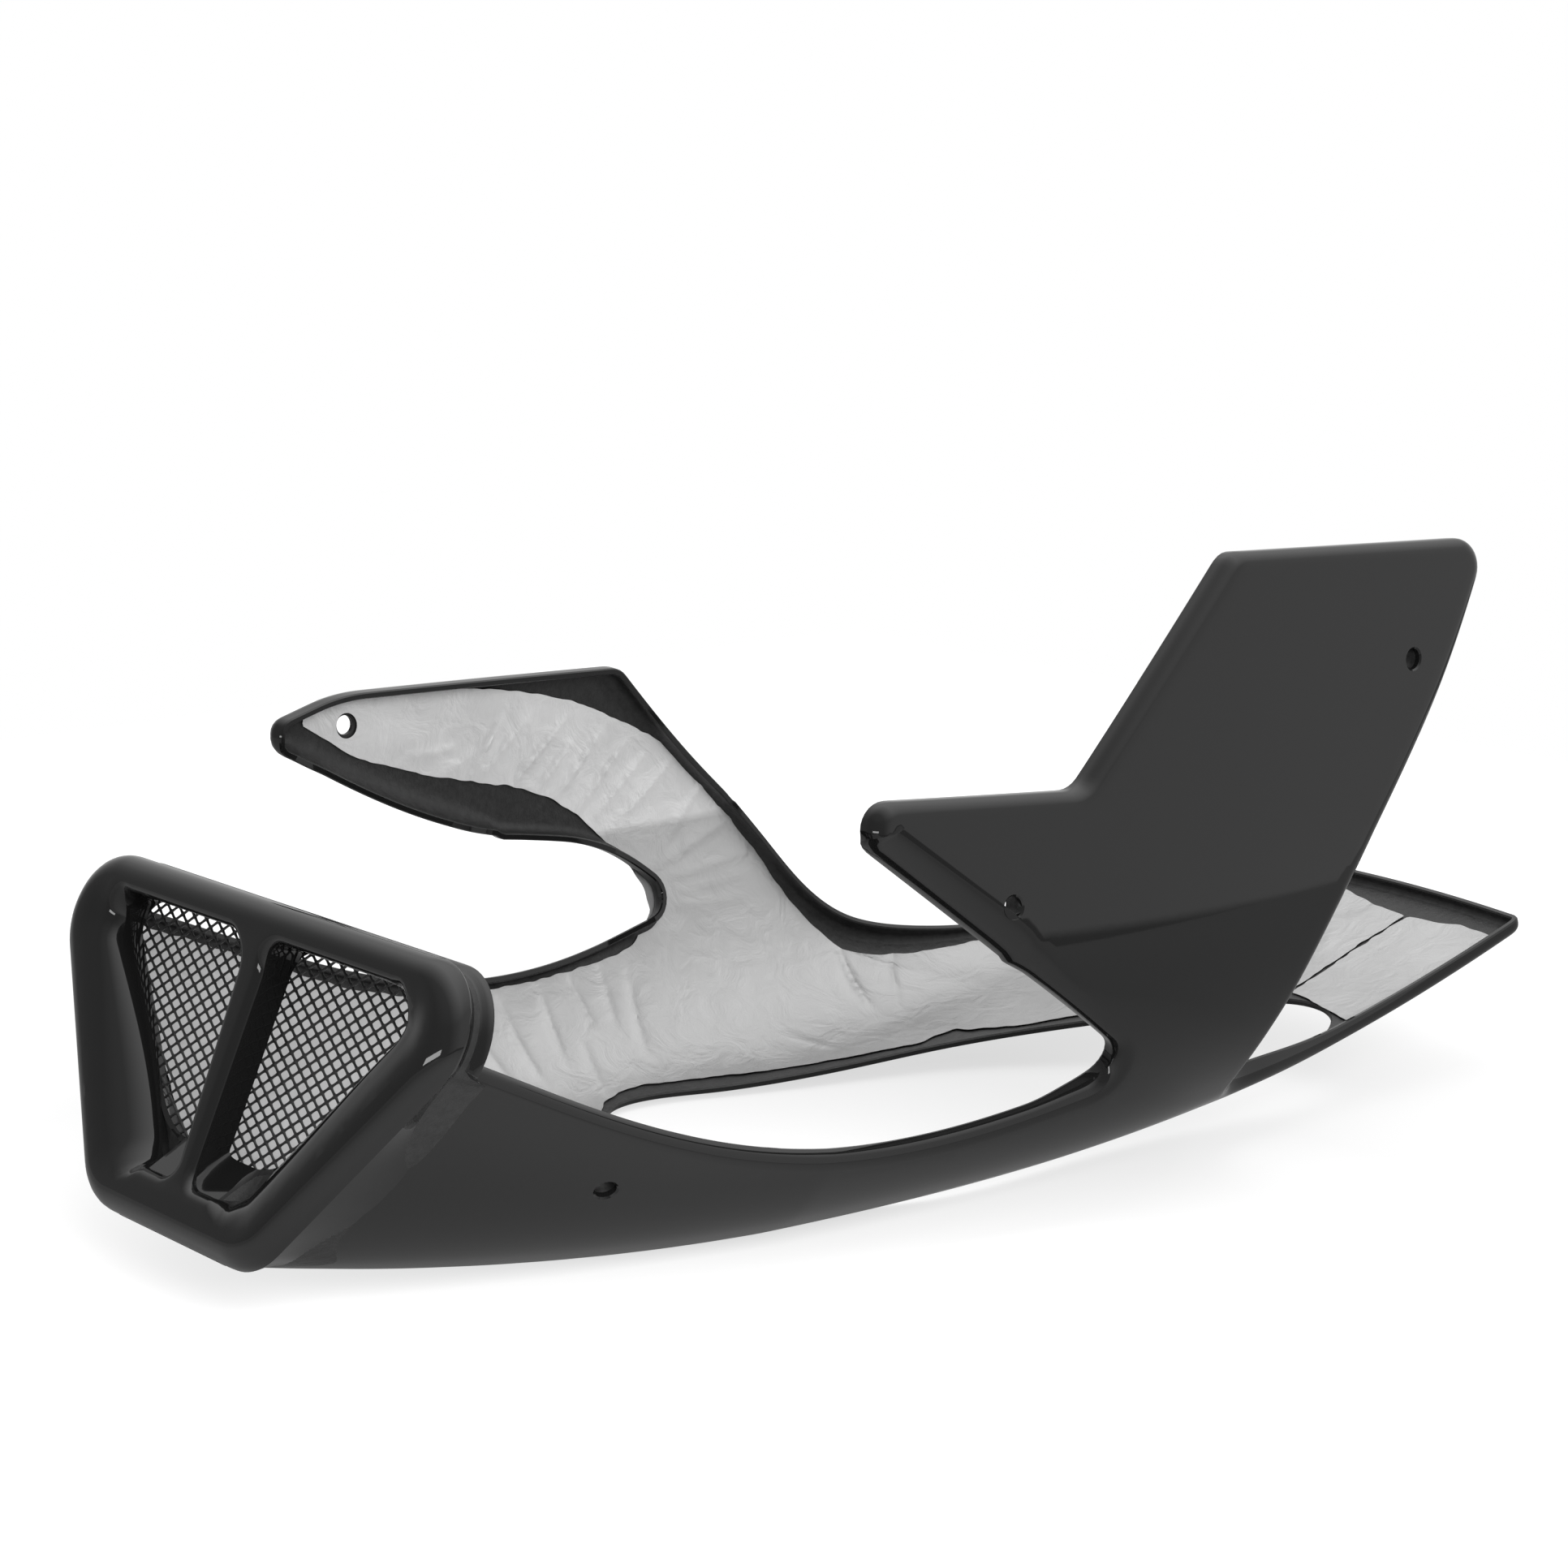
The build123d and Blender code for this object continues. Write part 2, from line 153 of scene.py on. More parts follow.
# outlines drawn as paths of points
def even(path, step, closed=False):
    p = np.asarray(path, float)
    if closed:
        p = np.vstack([p, p[:1]])
    run = np.concatenate([[0], np.cumsum(np.linalg.norm(np.diff(p, axis=0), axis=1))])
    count = max(int(round(run[-1] / step)), 2)
    at = np.linspace(0, run[-1], count + 1)
    out = np.stack([np.interp(at, run, p[:, i]) for i in range(p.shape[1])], -1)
    return out[:-1] if closed else out


def curveThrough(points, step=1.0):  # natural cubic spline on chord length
    p = np.asarray(points, float)
    t = np.concatenate([[0], np.cumsum(np.linalg.norm(np.diff(p, axis=0), axis=1))])
    n = len(p)
    a = np.eye(n)
    b = np.zeros_like(p)
    for i in range(1, n - 1):
        lo, hi = t[i] - t[i - 1], t[i + 1] - t[i]
        a[i, i - 1:i + 2] = lo, 2 * (lo + hi), hi
        b[i] = 6 * ((p[i + 1] - p[i]) / hi - (p[i] - p[i - 1]) / lo)
    m = np.linalg.solve(a, b)
    at = np.linspace(0, t[-1], max(int(t[-1] / step), 4))
    i = np.clip(np.searchsorted(t, at, side="right") - 1, 0, n - 2)
    gap = (t[i + 1] - t[i])[:, None]
    u, v = (t[i + 1] - at)[:, None], (at - t[i])[:, None]
    bent = (m[i] * u ** 3 + m[i + 1] * v ** 3) / (6 * gap)
    return bent + (p[i] / gap - m[i] * gap / 6) * u + (p[i + 1] / gap - m[i + 1] * gap / 6) * v


def closedCurve(points, clear=30):  # a smooth ring, the middle round of three
    p = list(points)
    around = even(curveThrough(p * 3), 1.0)
    away = np.linalg.norm(around[:len(around) // 2] - np.asarray(p[0], float), axis=1)
    away[:clear] = np.inf
    start = int(np.argmin(away))
    rest = around[start + clear:]
    end = int(np.argmin(np.linalg.norm(rest - around[start], axis=1))) + start + clear
    return around[start:end]


def roundCorner(path, spot, radius, look=14):  # an arc in place of the corner at the spot
    p = even(path, 1.0)
    i = int(np.argmin(np.linalg.norm(p - np.asarray(spot, float), axis=1)))
    back = p[max(i - look, 0)] - p[i]
    ahead = p[min(i + look, len(p) - 1)] - p[i]
    back, ahead = back / np.linalg.norm(back), ahead / np.linalg.norm(ahead)
    angle = math.acos(max(-1.0, min(1.0, float(back @ ahead))))
    away = radius / math.tan(angle / 2)
    i0, i1 = max(i - int(round(away)), 1), min(i + int(round(away)), len(p) - 2)
    d0, d1 = p[i0] - p[i0 - 1], p[i1] - p[i1 + 1]
    handle = 4 / 3 * math.tan((math.pi - angle) / 4) * radius
    c0 = p[i0] + d0 / np.linalg.norm(d0) * handle
    c1 = p[i1] + d1 / np.linalg.norm(d1) * handle
    t = np.linspace(0, 1, max(int(away), 8))[:, None]
    arc = (1 - t) ** 3 * p[i0] + 3 * (1 - t) ** 2 * t * c0 + 3 * (1 - t) * t * t * c1 + t ** 3 * p[i1]
    return np.vstack([p[:i0], arc, p[i1 + 1:]])


def inside(points, loop):
    x, y = points[:, 0], points[:, 1]
    hit = np.zeros(len(points), bool)
    ax, ay = loop[:, 0], loop[:, 1]
    bx, by = np.roll(ax, -1), np.roll(ay, -1)
    for i in range(len(loop)):
        if ay[i] == by[i]:
            continue
        crosses = (ay[i] > y) != (by[i] > y)
        hit ^= crosses & (x < (bx[i] - ax[i]) * (y - ay[i]) / (by[i] - ay[i]) + ax[i])
    return hit


def farFrom(points, loop, chunk=4000):  # distance to a closed path
    a, b = loop, np.roll(loop, -1, axis=0)
    d = b - a
    long = np.maximum((d * d).sum(1), 1e-9)
    out = np.empty(len(points))
    for i in range(0, len(points), chunk):
        p = points[i:i + chunk, None, :]
        t = np.clip(((p - a) * d).sum(-1) / long, 0, 1)
        out[i:i + chunk] = np.linalg.norm(p - a - t[..., None] * d, axis=-1).min(1)
    return out


def beside(p, a, b):  # how far along a straight line each point lies, and how far away from it
    a, b = np.asarray(a, float), np.asarray(b, float)
    d = b - a
    t = np.clip(((p - a) @ d) / (d @ d), 0, 1)
    return t, np.linalg.norm(p - a - t[:, None] * d, axis=1)


def facing(path, hole, place, step=0.3):  # the step on the sheet that goes one millimetre off its edge
    ahead = np.roll(path, -1, axis=0) - np.roll(path, 1, axis=0)
    x, y = path[:, 0], path[:, 1]
    turns = (x * np.roll(y, -1) - np.roll(x, -1) * y).sum()
    out = np.stack([ahead[:, 1], -ahead[:, 0]], -1) * (1 if (turns > 0) != hole else -1)
    jx = place(path + (step, 0)) - place(path - (step, 0))
    jy = place(path + (0, step)) - place(path - (0, step))
    jx, jy = jx / (2 * step), jy / (2 * step)
    along = jx * ahead[:, :1] + jy * ahead[:, 1:]
    w = jx * out[:, :1] + jy * out[:, 1:]
    w -= along * ((w * along).sum(1) / (along * along).sum(1))[:, None]
    w /= np.linalg.norm(w, axis=1, keepdims=True)
    xx, xy, yy = (jx * jx).sum(1), (jx * jy).sum(1), (jy * jy).sum(1)
    wx, wy = (w * jx).sum(1), (w * jy).sum(1)
    det = xx * yy - xy * xy
    return np.stack([(wx * yy - wy * xy) / det, (wy * xx - wx * xy) / det], -1)


def rollProfile(radius, depth, wall, steps=9, drop=0.8, inset=0.5):  # (outward, inward) round a rolled edge
    turn = np.linspace(0, math.pi / 2, steps)
    outer = [(radius * math.sin(t), radius * (1 - math.cos(t))) for t in turn[1:]]
    lip = [(radius, depth - drop), (radius - inset, depth)]
    lip += [(radius - wall + inset, depth), (radius - wall, depth - drop)]
    inner = [((radius - wall) * math.sin(t), radius - (radius - wall) * math.cos(t)) for t in turn[:0:-1]]
    return np.moveaxis(np.array(outer + lip + inner), 1, -1)


def bossProfile(soft, wall, deep, thick):  # a hole with a short boss behind it
    return np.array([(soft, soft), (soft, wall), (soft, deep), (soft - thick, deep), (soft - thick, wall)])


def cutProfile(soft, wall):  # a plain trimmed edge
    return np.array([(soft, soft), (soft, wall - soft)])


# a sheet with a wall, meshed on a grid of triangles and finished along its edges
sheetSet = {"row": 0.866, "clear": 0.55, "weld": 1e-6, "probe": 0.5}  # row and free edge in spacings


def between(points, pins):  # inside the first path and outside the others
    good = inside(points, pins[0])
    for p in pins[1:]:
        good &= ~inside(points, p)
    return good


def sheetGrid(pins, spacing):
    s = sheetSet
    low, high = pins[0].min(0), pins[0].max(0)
    rows = []
    for r in range(int((high[1] - low[1]) / (spacing * s["row"])) + 1):
        xs = np.arange(low[0] + (r % 2) * spacing / 2, high[0], spacing)
        rows.append(np.stack([xs, np.full(len(xs), low[1] + r * spacing * s["row"])], -1))
    grid = np.vstack(rows)
    keep = between(grid, pins)
    for p in pins:
        keep &= farFrom(grid, p) > spacing * s["clear"]
    return grid[keep]


def rolledSheet(name, loops, spacing, place, normal, wall, materials):
    pins, edges, marks = [], [], []
    for loop in loops:
        path = even(loop["path"], loop["step"], True)
        out = facing(path, loop.get("hole", False), place)
        roll = loop["rollAt"](path, out)[:, None] if "rollAt" in loop else loop.get("roll", 0.0)
        start = sum(len(p) for p in pins)
        n = len(path)
        pins.append(path - out * roll)
        edges += [(start + i, start + (i + 1) % n) for i in range(n)]
        marks.append((start, n, out, loop))
    flat = np.vstack(pins + [sheetGrid(pins, spacing)])
    got = delaunay_2d_cdt([Vector(p) for p in flat.tolist()], edges, [], 0, sheetSet["weld"])
    flat = np.array([tuple(v) for v in got[0]])
    tris = np.array([f for f in got[2] if len(f) == 3])
    tris = tris[between(flat[tris].mean(1), pins)]
    came = {}
    for i, sources in enumerate(got[3]):
        for s in sources:
            came[s] = i
    p3, n3 = place(flat), normal(flat)
    a, b, c = (p3[tris[:, i]] for i in range(3))
    flip = (np.cross(b - a, c - a) * n3[tris[:, 0]]).sum(1) < 0
    tris[flip] = tris[flip][:, ::-1]
    count = len(flat)
    verts = [p3, p3 - n3 * wall]
    faces = tris.tolist() + (tris[:, ::-1] + count).tolist()
    kinds = [0] * len(tris) + [1] * len(tris)
    base = 2 * count
    for start, n, out, loop in marks:
        ring = np.array([came[start + i] for i in range(n)])
        f2 = flat[ring]
        p, up = p3[ring], n3[ring]
        t = place(f2 + out * sheetSet["probe"]) - p
        t -= (t * up).sum(1, keepdims=True) * up
        t /= np.linalg.norm(t, axis=1, keepdims=True)
        profile = loop["profile"](p, t) if callable(loop["profile"]) else loop["profile"]
        strips = profile if profile.ndim == 3 else np.repeat(profile[:, None], n, axis=1)
        if strips.shape[-1] == 2:
            strips = p[None] + strips[..., :1] * t[None] - strips[..., 1:] * up[None]
        verts.append(strips.reshape(-1, 3))
        m = len(profile)
        bands = np.vstack([ring[None], base + np.arange(m * n).reshape(m, n), (ring + count)[None]])
        base += m * n
        split = loop.get("innerFrom", m // 2 + 1)
        ahead = np.cross(t, np.roll(p, -1, axis=0) - p)
        wound = (ahead * up).sum() > 0
        for j in range(len(bands) - 1):
            for i in range(n):
                k = (i + 1) % n
                quad = [bands[j][i], bands[j + 1][i], bands[j + 1][k], bands[j][k]]
                faces.append(quad if wound else quad[::-1])
                kinds.append(1 if j >= split else 0)
    return meshPiece(name, np.vstack(verts) * mm, faces, kinds, materials)


def meshPiece(name, verts, faces, kinds, materials):
    mesh = bpy.data.meshes.new(name)
    mesh.from_pydata([tuple(v) for v in verts], [], [tuple(int(i) for i in f) for f in faces])
    for m in materials:
        mesh.materials.append(m)
    mesh.polygons.foreach_set("material_index", [int(k) for k in kinds])
    mesh.polygons.foreach_set("use_smooth", [True] * len(mesh.polygons))
    mesh.validate()
    mesh.set_sharp_from_angle(angle=sharpAngle)
    piece = bpy.data.objects.new(name, mesh)
    scene.collection.objects.link(piece)
    return piece


# materials
def nodeMaterial(name):
    m = bpy.data.materials.new(name)
    m.use_nodes = True
    tree = m.node_tree
    return m, tree, tree.nodes["Principled BSDF"]


def addNode(tree, kind, links=(), **values):
    n = tree.nodes.new(kind)
    for key, value in values.items():
        if key in n.inputs:
            n.inputs[key].default_value = value
        else:
            setattr(n, key, value)
    for socket, source in links:
        tree.links.new(source, n.inputs[socket])
    return n


def ramp(tree, source, stops):
    n = tree.nodes.new("ShaderNodeValToRGB")
    tree.links.new(source, n.inputs["Fac"])
    while len(n.color_ramp.elements) < len(stops):
        n.color_ramp.elements.new(0.5)
    for e, (at, grey) in zip(n.color_ramp.elements, stops):
        e.position = at
        e.color = (grey, grey, grey, 1)
    return n.outputs["Color"]


def objectPlace(tree):
    return addNode(tree, "ShaderNodeTexCoord").outputs["Object"]


def noiseOn(tree, place, values):
    return addNode(tree, "ShaderNodeTexNoise", [("Vector", place)], **values).outputs["Fac"]


def bumpOf(tree, height, values, links=()):
    return addNode(tree, "ShaderNodeBump", [("Height", height), *links], **values).outputs["Normal"]


def multiplied(tree, a, b):
    n = addNode(tree, "ShaderNodeMixRGB", [("Color1", a), ("Color2", b)], blend_type="MULTIPLY", Fac=1.0)
    return n.outputs["Color"]


gelcoatLook = {
    "black": 0.008,
    "haze": {"Scale": 18.0, "Detail": 6.0, "Roughness": 0.6}, "rough": [(0.35, 0.03), (0.75, 0.06)],
    "peel": {"Scale": 160.0, "Detail": 2.0}, "bump": {"Strength": 0.004, "Distance": 0.001},
}


def gelcoat():
    look = gelcoatLook
    m, tree, skin = nodeMaterial("glossGelcoat")
    skin.inputs["Base Color"].default_value = (look["black"],) * 3 + (1,)
    place = objectPlace(tree)
    haze = noiseOn(tree, place, look["haze"])
    tree.links.new(ramp(tree, haze, look["rough"]), skin.inputs["Roughness"])
    peel = noiseOn(tree, place, look["peel"])
    tree.links.new(bumpOf(tree, peel, look["bump"]), skin.inputs["Normal"])
    return m


innerLook = {
    "weave": {"Scale": 260.0, "Detail": 5.0, "Roughness": 0.7}, "black": [(0.3, 0.010), (0.7, 0.024)],
    "rough": 0.42, "bump": {"Strength": 0.25, "Distance": 0.002},
}


def innerBlack():
    look = innerLook
    m, tree, skin = nodeMaterial("innerLaminate")
    weave = noiseOn(tree, objectPlace(tree), look["weave"])
    tree.links.new(ramp(tree, weave, look["black"]), skin.inputs["Base Color"])
    skin.inputs["Roughness"].default_value = look["rough"]
    tree.links.new(bumpOf(tree, weave, look["bump"]), skin.inputs["Normal"])
    return m


blackGel, blackInner = gelcoat(), innerBlack()


# the shell
shellSet = {
    "wall": 3.0, "roll": 7.5, "wideRoll": 14.0, "slimRoll": 5.5,
    "flange": 12.0, "slimFlange": 8.0, "leastFlange": 1.5, "plain": (0.1, 0.9), "soft": 0.7,
    "spacing": 4.0, "step": 2.6, "openingStep": 3.0, "holeStep": 1.0, "outerRows": 11, "holeRows": 2,
    "hornEdge": [(-139, 190), (-20, 98)], "armEdge": [(-205, 182), (-60, 118)],
    "wideDown": (0.1, 0.5), "wideAway": (14.0, 14.0),  # start and run of each fade, here and below
    "wideFront": (0.0, 0.2), "wideRear": (1.0, 0.3),
    "slimTail": (130.0, 80.0), "slimTop": (150.0, 40.0),
    "slimUnder": (-15.0, 20.0), "slimFront": (20.0, 40.0),
    "slimEdges": [(33, 58, 0.788), (-3, 101, 0.41)],  # station, height and fall, left and right
    "leftRim": [(-330, 132), (-277, 106), (-228, 81), (-131, 47), (-51, 43.5), (33, 58)],
    "leftSide": [(33, 58), (-139, 193.5), (-9, 184.6), (82, 273), (245.6, 265.9)],
    "leftRear": [(245.6, 265.9), (212, 209), (161, 144), (120, 82), (112, 60)],
    "leftTail": [(112, 138), (124, 127), (150, 121), (200, 114), (260, 111), (335.8, 113)],
    "rightTail": [(335.8, 113), (270, 117), (215, 126), (169, 137), (128, 151)],
    "rightRear": [(93, 91), (48, 141), (-2.5, 193.5)],
    "rightTop": [(-2.5, 193.5), (-166, 200.5), (-215, 188)],
    "rightArm": [(-215, 188), (-71, 121), (-3, 101), (34, 70)],
    "rightRim": [(34, 70), (-44, 55.5), (-125.5, 60.5), (-218, 94), (-267, 116), (-330, 142)],
    "leftCorners": [((33, 58), 12), ((-139, 193.5), 12), ((-9, 184.6), 14), ((82, 273), 12),
                    ((245.6, 265.9), 13)],
    "rightCorners": [((-2.5, 193.5), 11), ((-166, 200.5), 100), ((-215, 188), 9.5), ((34, 70), 11)],
    "tailHalf": 113.0, "tailBow": 7.2, "tailCorner": 8.0,
    "tailFrom": 161.0, "tailEvery": 25, "tailPoints": 60,
    "frontPoints": 90, "frontSearch": (-380.0, -200.0), "halvings": 40,
    "opening": [(-80, -10), (-76, -68), (-52, -87), (60, -94), (163, -98), (214, -97), (232, -84), (236, -60),
                (205, -18), (168, 14), (112, 48), (58, 64), (4, 80), (-35, 91), (-62, 86), (-76, 62)],
    "holeRadius": 4.5, "boss": 11.0, "bossWall": 2.0,
    "leftHoles": [(-48.9, 142.9), (187.0, 217.7), (-215.5, 47.2)],
    "rightHoles": [(-156.7, 183.6), (-215.5, 47.2)],
}

# nose frame on its raked plane
noseSet = {
    "rake": 23.0, "frontX": -345.4, "frontZ": 28.4, "lap": 9.0, "lapFade": (1.0, 9.0),
    "footHalf": 60.0, "topHalf": 170.0, "height": 135.0, "footRadius": 32.0, "topRadius": 30.0,
    "roll": 10.5, "dish": 3.5, "dishRun": 20.0, "skin": 3.0, "spacing": 3.0,
    "step": 2.6, "edgeStep": 2.0, "windowStep": 2.0, "sideRows": 18, "funnelRows": 12,
    "foot": -2.0, "side": 10.5, "depth": 22.0,
    "coveRun": 34.0, "topCoveRun": 24.0, "coveRise": (40.0, 70.0), "coveBow": 2.2, "proud": 0.8,
    "gapSearch": (40.0, -14.0, 109), "beyond": 8.0, "smooth": 6, "backStep": 0.2,
    "free": (-8.0, 10.0), "freeAhead": 8.0, "groove": 3.5, "grooveRise": (55.0, 50.0),
    "edge": 4.0, "softEdge": 17.0, "topEdge": 7.0, "lipFace": (0.15, 0.6), "lipRise": (30.0, 80.0),
    "funnel": 18.5, "funnelWall": 2.5, "funnelGap": 1.0, "funnelSteps": (0.34, 0.67, 1.0),
    "window": [(8.5, 120.5), (120, 120.5), (29, 20), (5, 20)], "windowRadii": [12, 12, 9, 8],
    "scoop": 15.0, "scoopRun": 40.0, "scoopMost": 1.2,  # how far the funnel floor climbs towards the mesh
}
rake = math.radians(noseSet["rake"])
noseFoot = np.array([noseSet["frontX"], 0.0, noseSet["frontZ"]])
noseUp = np.array([math.sin(rake), 0.0, math.cos(rake)])
noseOut = np.array([-math.cos(rake), 0.0, math.sin(rake)])
noseSide = np.array([0.0, -1.0, 0.0])


def noseDepth(p):
    return -((p - noseFoot) @ noseOut)


def noseSpot(f, depth):  # place at a depth behind the nose's plane
    return noseFoot + f[:, :1] * noseSide + f[:, 1:] * noseUp - depth * noseOut


def cornered(path, corners):
    for spot, radius in corners:
        path = roundCorner(path, spot, radius)
    return path


def shellOutline():
    s = shellSet
    left = np.vstack([curveThrough(s["leftRim"]), s["leftSide"][1:], curveThrough(s["leftRear"])])
    left = wallPath(cornered(left, s["leftCorners"]), -1)
    away = np.abs(left[:, 0] - s["tailFrom"])
    away[left[:, 1] > left[-1, 1] - 1] = np.inf  # the low rim doesn't count
    cut = int(np.argmin(away))
    leftTail = floorPath(np.array(s["leftTail"], float) * (1, -1))
    left = np.vstack([left[:cut], curveThrough(np.vstack([left[cut::s["tailEvery"]], leftTail]))])
    across = np.linspace(-s["tailHalf"], s["tailHalf"], s["tailPoints"])
    bowed = hullLines["tailX"] - s["tailBow"] * (across / s["tailHalf"]) ** 2
    tail = floorPath(np.stack([bowed, across], -1))
    rightRear = curveThrough(np.vstack([floorPath(s["rightTail"]), wallPath(s["rightRear"])]))
    right = np.vstack([s["rightTop"], curveThrough(s["rightArm"])[1:], curveThrough(s["rightRim"])[1:]])
    path = np.vstack([left, tail[1:-1], rightRear, wallPath(even(right, 1.0))[1:]])
    path = cornered(path, [(wallPath([spot])[0], radius) for spot, radius in s["rightCorners"]])
    ends = floorPath([(hullLines["tailX"] - s["tailBow"], side * s["tailHalf"]) for side in (-1, 1)])
    path = cornered(path, [(end, s["tailCorner"]) for end in ends])
    path = path[noseDepth(onSkin(path)) > noseSet["lap"]]
    girth = np.linspace(path[-1, 1], path[0, 1], s["frontPoints"])
    ahead, behind = (np.full(len(girth), x) for x in s["frontSearch"])
    for _ in range(s["halvings"]):
        middle = (ahead + behind) / 2
        deep = noseDepth(skinPlace(middle, girth)) > noseSet["lap"]
        ahead, behind = np.where(deep, ahead, middle), np.where(deep, middle, behind)
    front = np.stack([behind, girth], -1)
    return np.vstack([path, front[1:-1]])


def ringAt(spot, radius, side=1, count=28):  # outline of a hole at a station and height
    x, girth = wallPath([spot], side)[0]
    turn = np.linspace(0, 2 * math.pi, count, endpoint=False)
    above, below = skinPlace(np.array([x, x]), np.array([girth + 1, girth - 1]))
    stretch = np.linalg.norm(above - below) / 2
    return np.stack([x + radius * np.cos(turn), girth + radius / stretch * np.sin(turn)], -1)


def closedRound(points, radii):
    p = np.asarray(points, float)
    start = (p[0] + p[-1]) / 2
    path = np.vstack([start, p, start])
    for spot, radius in zip(p, radii):
        path = roundCorner(path, spot, radius, 10)
    return path[:-1]


def rimShare(p):  # the rim's roll fades where the nose frame laps the shell
    start, run = noseSet["lapFade"]
    return np.clip((noseDepth(p) - noseSet["lap"] - start) / run, 0, 1)


def slimShare(p):  # one along the tail and along the low front rims
    s = shellSet
    x, z = p[:, 0], p[:, 2]
    left, right = (height - (x - station) * fall for station, height, fall in s["slimEdges"])
    edge = np.where(p[:, 1] < 0, left, right)
    tail = fadeIn(x, s["slimTail"]) * fadeOut(z, s["slimTop"])
    return np.maximum(tail, fadeOut(z - edge, s["slimUnder"]) * fadeOut(x, s["slimFront"]))


def rimRadius(p, down):  # wider under the horn and under the arm
    s = shellSet
    radius = s["roll"] + (s["slimRoll"] - s["roll"]) * slimShare(p)
    low = fadeIn(down, s["wideDown"])
    for side, name in ((-1, "hornEdge"), (1, "armEdge")):
        t, away = beside(p[:, [0, 2]], *s[name])
        near = (1 - fadeIn(away, s["wideAway"])) * (p[:, 1] * side > 0)
        near = near * fadeIn(t, s["wideFront"]) * fadeOut(t, s["wideRear"])
        radius = radius + (s["wideRoll"] - s["roll"]) * near * low
    return radius


def rimRoll(path, out):
    p = onSkin(path)
    return rimRadius(p, p[:, 2] - onSkin(path + out)[:, 2]) * rimShare(p)


def rimRows(p, t):  # the rolled edge, or a plain one under the nose frame
    s = shellSet
    radius = rimRadius(p, -t[:, 2])
    share = rimShare(p)[None, :, None]
    flange = s["flange"] + (s["slimFlange"] - s["flange"]) * slimShare(p)
    rolled = rollProfile(radius, np.maximum(flange, radius + s["leastFlange"]), s["wall"])
    plain = np.linspace(*s["plain"], len(rolled))[:, None, None] * np.array([0.0, s["wall"]])
    return rolled * share + plain * (1 - share)


def buildShell():
    s = shellSet
    plain = cutProfile(s["soft"], s["wall"])
    boss = bossProfile(s["soft"], s["wall"], s["boss"], s["bossWall"])
    opening = floorPath(closedCurve(s["opening"]))
    loops = [
        {"path": shellOutline(), "rollAt": rimRoll, "profile": rimRows, "step": s["step"],
         "innerFrom": s["outerRows"]},
        {"path": opening, "hole": True, "roll": s["soft"], "profile": plain, "step": s["openingStep"]},
    ]
    for side, spots, profile in ((-1, s["leftHoles"], boss), (1, s["rightHoles"], plain)):
        for spot in spots:
            loops.append({
                "path": ringAt(spot, s["holeRadius"], side), "hole": True, "roll": s["soft"],
                "profile": profile, "step": s["holeStep"], "innerFrom": s["holeRows"],
            })
    return rolledSheet("panShell", loops, s["spacing"], onSkin, skinOut, s["wall"], [blackGel, blackInner])


panShell = buildShell()
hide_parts("pan_shell")
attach(panShell, "root")
print("shell", len(panShell.data.polygons))


def frameOutline():
    n = noseSet
    foot, top = (n["footHalf"], n["foot"]), (n["topHalf"], n["height"])
    spots = [foot, top, (-top[0], top[1]), (-foot[0], foot[1])]
    return closedRound(spots, [n["footRadius"], n["topRadius"], n["topRadius"], n["footRadius"]])


def windowOutline(way):
    path = closedRound(noseSet["window"], noseSet["windowRadii"])
    return path * (way, 1)


noseEdge = even(frameOutline(), noseSet["edgeStep"], True)


def nosePlace(f):
    n = noseSet
    sunk = n["dish"] * fadeIn(farFrom(f, noseEdge), (n["roll"], n["dishRun"])) * inside(f, noseEdge)
    return noseSpot(f, sunk[:, None])


def noseNormal(f, step=0.5):
    jx = nosePlace(f + (step, 0)) - nosePlace(f - (step, 0))
    jy = nosePlace(f + (0, step)) - nosePlace(f - (0, step))
    n = np.cross(jx, jy)
    return n / np.linalg.norm(n, axis=1, keepdims=True)


def withinHull(p):
    keel = sectionLines(p[:, 0])[0]
    side = skinPlace(p[:, 0], girthAtHeight(p[:, 0], np.maximum(p[:, 2], keel)))[:, 1]
    return (p[:, 2] >= keel) & (np.abs(p[:, 1]) <= side)


def rimHeight(p):
    left, right = np.array(shellSet["leftRim"], float), np.array(shellSet["rightRim"][::-1], float)
    onLeft = np.interp(p[:, 0], left[:, 0], left[:, 1])
    onRight = np.interp(p[:, 0], right[:, 0], right[:, 1])
    return np.where(p[:, 1] < 0, onLeft, onRight)


def evenRow(count, outward, inward):
    return np.full((count, 2), (outward, inward))


def hullGap(p, t, back):  # how far in from the frame's side the hull lies, at a depth behind the rim
    n = noseSet
    most, least, tries = n["gapSearch"]
    gap = np.full(len(p), most)
    for h in np.linspace(most, least, tries):
        q = p + t * (n["roll"] - h) - noseOut * back[:, None]
        gap = np.where(withinHull(q), h, gap)
    reach = n["smooth"]
    window = np.ones(2 * reach + 1) / (2 * reach + 1)
    return np.convolve(np.concatenate([gap[-reach:], gap, gap[:reach]]), window, "valid")


